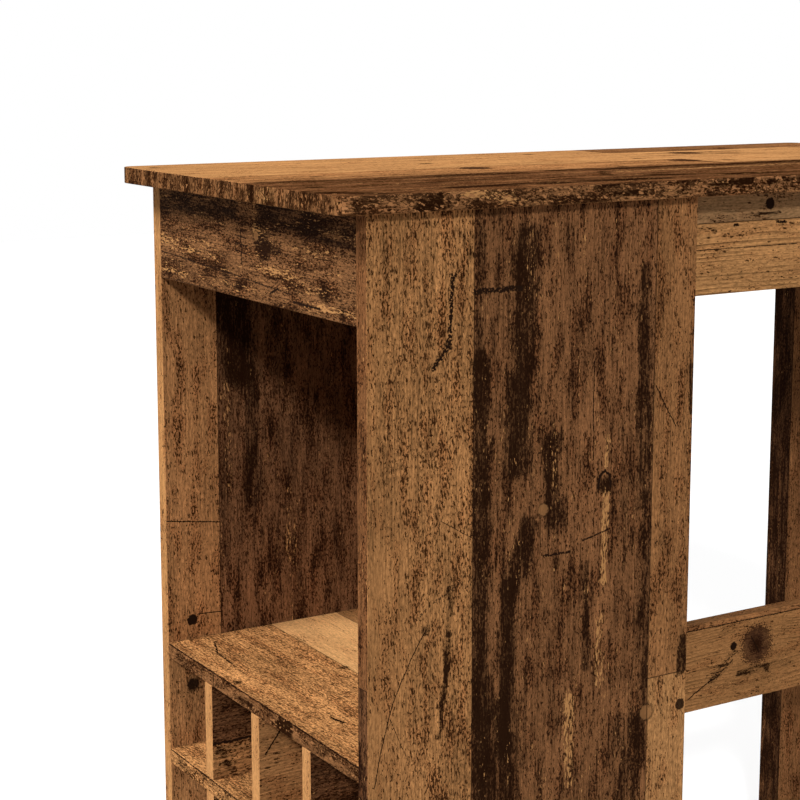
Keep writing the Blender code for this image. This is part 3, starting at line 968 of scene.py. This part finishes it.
# %% [markdown]
# ## The tabletop
# Its planks run the long way: a dark brown one along the front, a mid-brown strip, and a broad pale one
# behind. Three dark knots sit behind the front plank. The front edge is crackled like bark, and the end edge
# has its grain running down across the thickness.

# %% Tabletop
finish_board(
    "tabletop",
    "xyz",
    1.0,
    skin=(0.006, 0.006, 0.0012),
    planks=[
        plank(card(187, 134, 83), stain=0.0, flecks=0.22, worn=0.08, rings=0.35, seed=21.0),
        plank(
            card(175, 121, 74), stain=0.12, flecks=0.60, worn=0.15, rings=0.7, seed=22.0,
            across=(-51, 31), along=(-BEYOND, 122),
        ),
        plank(
            card(115, 75, 45), stain=0.23, flecks=0.75, worn=0.30, rings=1.2, seed=23.0,
            across=(-BEYOND, -51),
        ),
        plank(
            BROWN, stain=0.14, flecks=0.45, worn=0.10, rings=0.5, seed=24.0,
            across=(168, BEYOND), along=(122, BEYOND),
        ),
    ],
    marks=[
        knot(-185, 17, 19),
        knot(107, 7, 20),
        knot(207, 125, 22),
        smudge(-185, 17, 15, 1.1),
        smudge(107, 7, 15, 1.1),
        smudge(207, 125, 13, 1.1),
        stain(8, 0.75, (190, 128), (262, 90), wobble=5),
        stain(5, 0.55, (150, 136), (300, 128), wobble=5),
        stain(6, 0.45, (92, 20), (122, -45)),
        smudge(-190, 112, 10, 0.75),
        smudge(-487, 207, 7, 0.9),
        smudge(20, 203, 7, 0.8),
        smudge(83, 65, 7, 0.8),
        smudge(160, -10, 7, 0.8),
        smudge(-403, -13, 7, 0.7),
        smudge(-27, -43, 8, 0.6),
        stain(10, 0.35, (110, 177), (400, 172)),
        stain(9, 0.45, (-490, -60), (-423, -64)),
        stain(11, 0.50, (-290, -66), (-190, -70)),
        stain(9, 0.50, (-137, -60), (-90, -61)),
        stain(13, 0.55, (-80, -72), (500, -74)),
        worn(9, 0.70, (-83, -112), (200, -110)),
        smudge(-473, -133, 14, 0.5),
        stain(7, 0.5, (-97, -100), (-130, -150)),
        stain(8, 0.32, (-430, -146), (-237, -141)),
        stain(15, 0.55, (-357, -208), (-110, -210), wobble=15),
        stain(11, 0.45, (-90, -170), (0, -200), (300, -214), wobble=15),
        stain(14, 0.45, (-510, -190), (-460, -235)),
        stain(7, 0.85, (-424, -3), (-406, 2), wobble=15, where="edge"),
        stain(6, 0.5, (-400, -2), (-386, 0), where="edge"),
        worn(4, 1.1, (-371, 5), (-355, 6), wobble=5, where="edge"),
        worn(5, 1.0, (-348, 5), (-322, 0), where="edge"),
        stain(3, 0.7, (-222, 7), (-195, 7), wobble=5, where="edge"),
        stain(4, 0.6, (-198, -2), (-160, -2), wobble=5, where="edge"),
        stain(4, 0.7, (-72, 5), (-20, 6), wobble=5, where="edge"),
        stain(4, 0.6, (5, 4), (60, 5), wobble=5, where="edge"),
        stain(6, 0.75, (-9, -73), (9, -74), where="end"),
        worn(7, 0.85, (-3, -88), (4, -116), where="end"),
        smudge(-3, -178, 5, 0.6, where="end"),
    ],
    edge=[plank(card(140, 96, 60), stain=0.20, flecks=0.9, worn=0.30, seed=25.0)],
    end=[plank(card(130, 88, 54), stain=0.28, flecks=0.9, worn=0.30, seed=26.0)],
    bark=(0.22, 3.4),
    upright_ends=1.0,
    ring_spacing=0.034,
    gloss=0.0,
)

# %% [markdown]
# ## The back side panel
# Its inner face is in view through the open end: a light plank with two nail holes next to a very dark one
# that has two worn patches.

# %% Back side panel
finish_board(
    "back_side_panel",
    "zxy",
    -1.0,
    planks=[
        plank(card(114, 77, 50), stain=0.34, flecks=0.85, worn=0.14, seed=31.0),
        plank(card(164, 115, 72), stain=0.03, flecks=0.60, worn=0.05, seed=32.0, across=(-BEYOND, -407.5)),
        plank(BROWN, stain=0.20, flecks=0.60, worn=0.10, seed=33.0, across=(-160, BEYOND)),
    ],
    marks=[
        crack(0.9, (626, -476), (616, -407.5)),
        crack(0.8, (508, -438), (507, -408)),
        hole(502.5, -445, 6.8),
        stain(22, 0.6, (885, -388), (795, -382)),
        stain(11, 0.4, (790, -366), (640, -362)),
        hole(423.5, -445.5, 7, 0.85),
        smudge(423.5, -445.5, 9, 0.9),
        worn(8, 0.35, (772, -398), (655, -394)),
        worn(11, 0.30, (650, -313.5), (485, -311)),
    ],
    edge=[plank(HONEY, stain=0.02, flecks=0.30, worn=0.10, seed=34.0)],
)

# %% [markdown]
# ## Aprons and stretcher
# The boards under the top have their grain lying down. The long apron and the stretcher are light pine with
# clear growth rings, and the rings bend round a large knot in the stretcher. The end apron is dark, and two
# soft stain lines along its top add a painted shadow of the top's overhang.

# %% Aprons
finish_board(
    "left_end_apron",
    "yzx",
    -1.0,
    planks=[plank(DARK, stain=0.33, flecks=0.98, worn=0.36, rings=0.6, seed=41.0)],
    marks=[
        smudge(-33, 969, 14, 0.8),
        stain(7, 0.5, (-40, 967), (-66, 968)),
        smudge(-18, 978, 10, 0.55),
        plug(-17, 978, 5.5, 1.0),
        worn(7, 0.45, (-14, 1012), (-17, 984), wobble=5),
        crack(0.9, (30, 975), (6, 973)),
        crack(0.9, (30, 967), (4, 965)),
        crack(0.9, (30, 959), (6, 957)),
        crack(1.0, (18, 982), (16, 946)),
        crack(0.9, (225, 941), (60, 934), (-90, 926), gaps=0.42),
        worn(3, 0.9, (222, 921), (150, 920.5), wobble=5),
        worn(3, 0.6, (-120, 920), (-225, 920.5), wobble=5),
        crack(1.6, (-97, 919), (-150, 918.7)),
        crack(1.4, (-47, 922), (-64, 929)),
        # painted shadow: these two soft dark lines along the top edge paint the shadow of the top's overhang
        # over a darker band of print
        stain(16, 0.42, (230, 1000), (40, 1004), wobble=15),
        stain(17, 0.42, (-30, 1006), (-130, 1002), (-230, 992)),
        worn(8, 0.40, (225, 953), (70, 951)),
        worn(6, 0.50, (-20, 946), (-112, 942)),
        smudge(53, 928, 9, 0.55),
        smudge(24, 921, 7, 0.5),
        smudge(-160, 933, 10, 0.6),
        smudge(-193, 921, 7, 0.5),
    ],
    ring_spacing=0.0052,
    edge=[plank(BROWN, stain=0.15, flecks=0.5, worn=0.3, seed=42.0)],
)
for apron in ("front_apron", "back_apron"):
    finish_board(
        apron,
        "xzy",
        -1.0,
        planks=[
            plank(card(186, 134, 83), stain=0.03, flecks=0.30, worn=0.20, rings=1.0, seed=51.0),
            plank(GREY_BROWN, stain=0.04, flecks=0.30, worn=0.02, seed=52.0, across=(985.7, BEYOND)),
        ],
        marks=[
            hole(35, 1003, 6.5),
            stain(2, 0.8, (20, 993), (50, 993), wobble=5),
            crack(2, (46, 983), (58, 983), wobble=5, gaps=0.42),
            crack(1.8, (-14, 983), (-10, 982), wobble=5),
            smudge(-42, 977, 4, 0.7),
            crack(0.6, (-80, 958), (75, 958)),
        ],
        edge=[plank(TAN, stain=0.05, flecks=0.4, worn=0.2, seed=53.0)],
        seed=0.0 if apron == "front_apron" else 5.0,
        ring_spacing=0.0056,
    )
finish_board(
    "stretcher",
    "xzy",
    -1.0,
    planks=[
        plank(card(168, 119, 73), stain=0.04, flecks=0.24, worn=0.15, rings=1.0, seed=61.0),
        plank(
            card(160, 110, 68), stain=0.08, flecks=0.50, worn=0.12, rings=0.8, seed=62.0,
            across=(455, BEYOND),
        ),
    ],
    marks=[
        knot(231.5, 419.5, 26),
        smudge(231.5, 419.5, 24, 0.26),
        smudge(229, 423, 13, 0.55),
        smudge(250, 371, 12, 0.35),
        crack(1.0, (222, 432), (236, 409), gaps=0.42),
        stain(4, 0.35, (238, 440), (236, 400), wobble=5),
        stain(5, 0.75, (203, 386), (250, 387), wobble=5),
        stain(5, 0.45, (250, 387), (300, 386), wobble=5),
        stain(5, 0.30, (262, 424), (300, 432)),
        stain(8, 0.50, (195, 416), (157, 385), wobble=5),
        crack(1.6, (199, 416), (178, 404), (152, 383), wobble=5, gaps=0.52),
        crack(1.0, (192, 406), (170, 390), (140, 378), wobble=5, gaps=0.42),
        hole(193, 424, 5.5),
        crack(0.9, (119, 367), (164, 389), wobble=5),
        crack(0.9, (100, 455), (340, 455), gaps=0.42),
    ],
    edge=[plank(TAN, stain=0.05, flecks=0.4, worn=0.2, seed=63.0)],
    ring_spacing=0.0044,
)

# %% [markdown]
# ## Partition, end panel and plinth
# Partition and end panel are the same kind of board with upright planks, dark along one edge and brown after
# that. The plinth is a single plank that lies down.

# %% Upright boards at the ends
for node, shown_side, seed in (("partition", 1.0, 71.0), ("end_panel", -1.0, 81.0)):
    finish_board(
        node,
        "zyx",
        shown_side,
        planks=[
            plank(BROWN, stain=0.16, flecks=0.60, worn=0.12, seed=seed),
            plank(DEEP, stain=0.72, flecks=0.80, worn=0.10, seed=seed + 1, across=(180, BEYOND)),
            plank(TAN, stain=0.05, flecks=0.45, worn=0.10, seed=seed + 2, across=(-BEYOND, -70)),
            plank(
                HONEY, stain=0.02, flecks=0.30, worn=0.10, seed=seed + 3,
                across=(-BEYOND, -70), along=(-BEYOND, 330),
            ),
        ],
        edge=[plank(BROWN, stain=0.15, flecks=0.5, worn=0.15, seed=seed + 4)],
    )
finish_board(
    "plinth",
    "yzx",
    -1.0,
    planks=[plank(TAN, stain=0.08, flecks=0.45, worn=0.12, rings=0.4, seed=91.0)],
)

# %% [markdown]
# ## The rack
# Shelves have their planks across the unit: a mottled one at the open end, a plain pale one, and a tan one.
# The dividers' front edges are plain pale wood, and their faces differ from cell to cell.

# %% Shelves and dividers
RACK_PITCH = 129.5
TOP_ROW = 3
line_in_edge = [
    crack(1.0, (225, 7.6), (-225, 7.6), gaps=0.42, where="edge"),
    crack(0.9, (132, -9), (130, 9), where="edge"),
]
top_shelf_marks = [
    crack(1.6, (195, -428.5), (157, -443.5), (102, -447), wobble=5, gaps=0.42),
    smudge(55, -468, 6, 0.8),
    smudge(-80, -429, 4, 0.7),
    stain(9, 1.0, (-60, 0), (-78, 0), wobble=5, where="edge"),
    stain(5, 0.6, (34, -3), (10, -3), wobble=5, where="edge"),
    crack(0.9, (101, -9), (100, 9), where="edge"),
    smudge(37, -345, 6, 0.8),
    crack(2.6, (-94, -434), (-111, -430)),
]
for number in (1, 2, 3, 4):
    top_shelf = number == 4
    finish_board(
        f"shelf_{number}",
        "yxz",
        1.0,
        planks=[
            plank(card(190, 134, 82), stain=0.04, flecks=1.45, worn=0.25, seed=101.0),
            plank(
                card(214, 160, 103), stain=0.0, flecks=0.08, worn=0.0, rings=0.15, seed=102.0,
                across=(-342, -251),
            ),
            plank(TAN, stain=0.03, flecks=0.30, worn=0.05, rings=0.4, seed=103.0, across=(-251, BEYOND)),
        ],
        marks=line_in_edge + top_shelf_marks if top_shelf else line_in_edge,
        edge=[
            plank(DARK, stain=0.24, flecks=0.60, worn=0.25, seed=104.0)
            if top_shelf
            else plank(card(184, 130, 80), stain=0.05, flecks=0.60, worn=0.25, seed=104.0)
        ],
        bark=(0.10, 3.4),
        seed=0.0 if top_shelf else 3.0 * number,
        gloss=0.0,
    )
for row in (1, 2, 3):
    lower = (row - TOP_ROW) * RACK_PITCH
    divider_prints = {
        1: ([plank(card(102, 67, 42), stain=0.34, flecks=0.85, worn=0.15, rings=0.3, seed=112.0)], []),
        2: (
            [plank(card(164, 116, 72), stain=0.05, flecks=0.42, worn=0.15, rings=0.7, seed=113.0)],
            [crack(1.2, (-451, 441 + lower), (-468, 419 + lower))],
        ),
        3: (
            [
                plank(DEEP, stain=0.36, flecks=0.85, worn=0.15, rings=0.3, seed=114.0),
                plank(TAN, stain=0.12, flecks=0.90, worn=0.20, seed=114.5, across=(-BEYOND, 393 + lower)),
            ],
            [
                crack(1.9, (-480, 393 + lower), (-100, 393 + lower)),
                stain(5, 0.6, (-468, 384 + lower), (-455, 362 + lower), wobble=5),
            ],
        ),
    }
    for column, (planks, marks) in divider_prints.items():
        finish_board(
            f"divider_{row}_{column}",
            "xzy",
            -1.0,
            planks=planks,
            marks=marks,
            edge=[plank(PALE, stain=0.0, flecks=0.10, worn=0.05, seed=115.0)],
            end=[plank(PALE, stain=0.0, flecks=0.10, worn=0.05, seed=116.0)],
            seed=2.0 * row,
        )
print("boards finished:", len(finished))

# %% [markdown]
# ## Fittings
# Cam nuts are cast zinc: dull, a little pitted. The bolts are turned steel with a bright plating. The foot
# glides are brown plastic with a fine moulded texture.

# %% Fitting skin group
CLOUD_SCALE = 160.0
FITTING_SKIN, bench, given, result = new_group(
    "fitting skin",
    {"Tone": (0.55, 0.56, 0.58, 1.0), "Grain size": 0.0006, "Dullness": 0.4},
    {"Colour": "colour", "Roughness": "number", "Height": "number"},
)
place = bench.add("ShaderNodeTexCoord").outputs["Object"]
pits = bench.add("ShaderNodeTexNoise")
bench.feed(pits.inputs["Vector"], place)
bench.feed(pits.inputs["Scale"], bench.over(1.0, given["Grain size"]))
pits.inputs["Detail"].default_value = 3.0
clouds = bench.add("ShaderNodeTexNoise")
bench.feed(clouds.inputs["Vector"], place)
clouds.inputs["Scale"].default_value = CLOUD_SCALE
shade = bench.plus(0.82, bench.times(clouds.outputs[0], 0.34))
bench.give_out(
    result,
    {
        "Colour": bench.tint(given["Tone"], shade),
        "Roughness": bench.plus(given["Dullness"], bench.swing(pits.outputs[0], 0.3)),
        "Height": pits.outputs[0],
    },
)
print("group:", FITTING_SKIN.name, len(FITTING_SKIN.nodes), "nodes")

# %% Fitting materials
FITTING_RELIEF = 0.3


def fitting_finish(name, tone, grain_size, dullness, metallic, relief_depth):
    material, bench = new_material(name)
    skin = bench.use(FITTING_SKIN, {"Tone": tone, "Grain size": grain_size, "Dullness": dullness})
    surface = lay_surface(bench, *skin, FITTING_RELIEF, relief_depth)
    surface.inputs["Metallic"].default_value = metallic
    return material


FITTINGS = {
    "cam_nut_": fitting_finish("cast_zinc", (0.50, 0.50, 0.51, 1.0), 0.0005, 0.42, 1.0, 0.0001),
    "cam_bolt_": fitting_finish("plated_steel", (0.62, 0.61, 0.57, 1.0), 0.0009, 0.28, 1.0, 0.00005),
    "glide_": fitting_finish("glide_plastic", (0.055, 0.032, 0.020, 1.0), 0.0004, 0.5, 0.0, 0.0001),
}
fitted = 0
for start, material in FITTINGS.items():
    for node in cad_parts:
        if node.startswith(start):
            give(node, material)
            fitted += 1
print("boards and fittings finished:", len(finished) + fitted, "of", len(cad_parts))

# %% [markdown]
# ## Floor and surround
# A plain pale floor carries the table, and its own soft shadow. For the camera the floor and the surround
# are white, and for the light that bounces up to the table they are a quiet grey, so that the boards' own
# colours aren't washed out.

# %% Floor
FLOOR_HALF = 9.0
SEEN_FLOOR = (0.85, 0.85, 0.85, 1.0)
BOUNCE_FLOOR = (0.36, 0.36, 0.36, 1.0)
FLOOR_GLOW = 0.12
WHITE = (1.0, 1.0, 1.0, 1.0)


def seen_by_camera(bench):
    """One where the camera looks, straight on or by way of gloss or glass."""
    path = bench.add("ShaderNodeLightPath").outputs
    by_gloss_or_glass = bench.larger(path["Is Glossy Ray"], path["Is Transmission Ray"])
    return bench.larger(path["Is Camera Ray"], by_gloss_or_glass)


floor_mesh = bpy.data.meshes.new("floor")
corners = [(x * FLOOR_HALF, y * FLOOR_HALF, 0) for x, y in ((-1, -1), (1, -1), (1, 1), (-1, 1))]
floor_mesh.from_pydata(corners, [], [(0, 1, 2, 3)])
floor = bpy.data.objects.new("floor", floor_mesh)
bpy.context.scene.collection.objects.link(floor)
floor_paint, bench = new_material("floor_paint")
seen = seen_by_camera(bench)
matt = bench.add("ShaderNodeBsdfDiffuse")
bench.feed(matt.inputs["Color"], bench.mix(seen, BOUNCE_FLOOR, SEEN_FLOOR))
glow = bench.add("ShaderNodeEmission")
glow.inputs["Color"].default_value = WHITE
bench.feed(glow.inputs["Strength"], bench.times(seen, FLOOR_GLOW))
both = bench.add("ShaderNodeAddShader")
bench.fill(both, (matt.outputs[0], glow.outputs[0]))
output = bench.add("ShaderNodeOutputMaterial")
bench.feed(output.inputs["Surface"], both.outputs[0])
floor_mesh.materials.append(floor_paint)
print("floor side:", 2 * FLOOR_HALF, "m")

# %% Surround
FILL_LIGHT = 0.30
world = bpy.data.worlds.new("surround")
bpy.context.scene.world = world
world.use_nodes = True
world.node_tree.nodes.clear()
bench = Bench(world.node_tree)
sky = bench.add("ShaderNodeBackground")
sky.inputs["Color"].default_value = WHITE
bench.feed(sky.inputs["Strength"], bench.between(seen_by_camera(bench), FILL_LIGHT, 1.0))
output = bench.add("ShaderNodeOutputWorld")
bench.feed(output.inputs["Surface"], sky.outputs[0])
bpy.context.scene.view_settings.view_transform = "Standard"
print("fill light:", FILL_LIGHT)
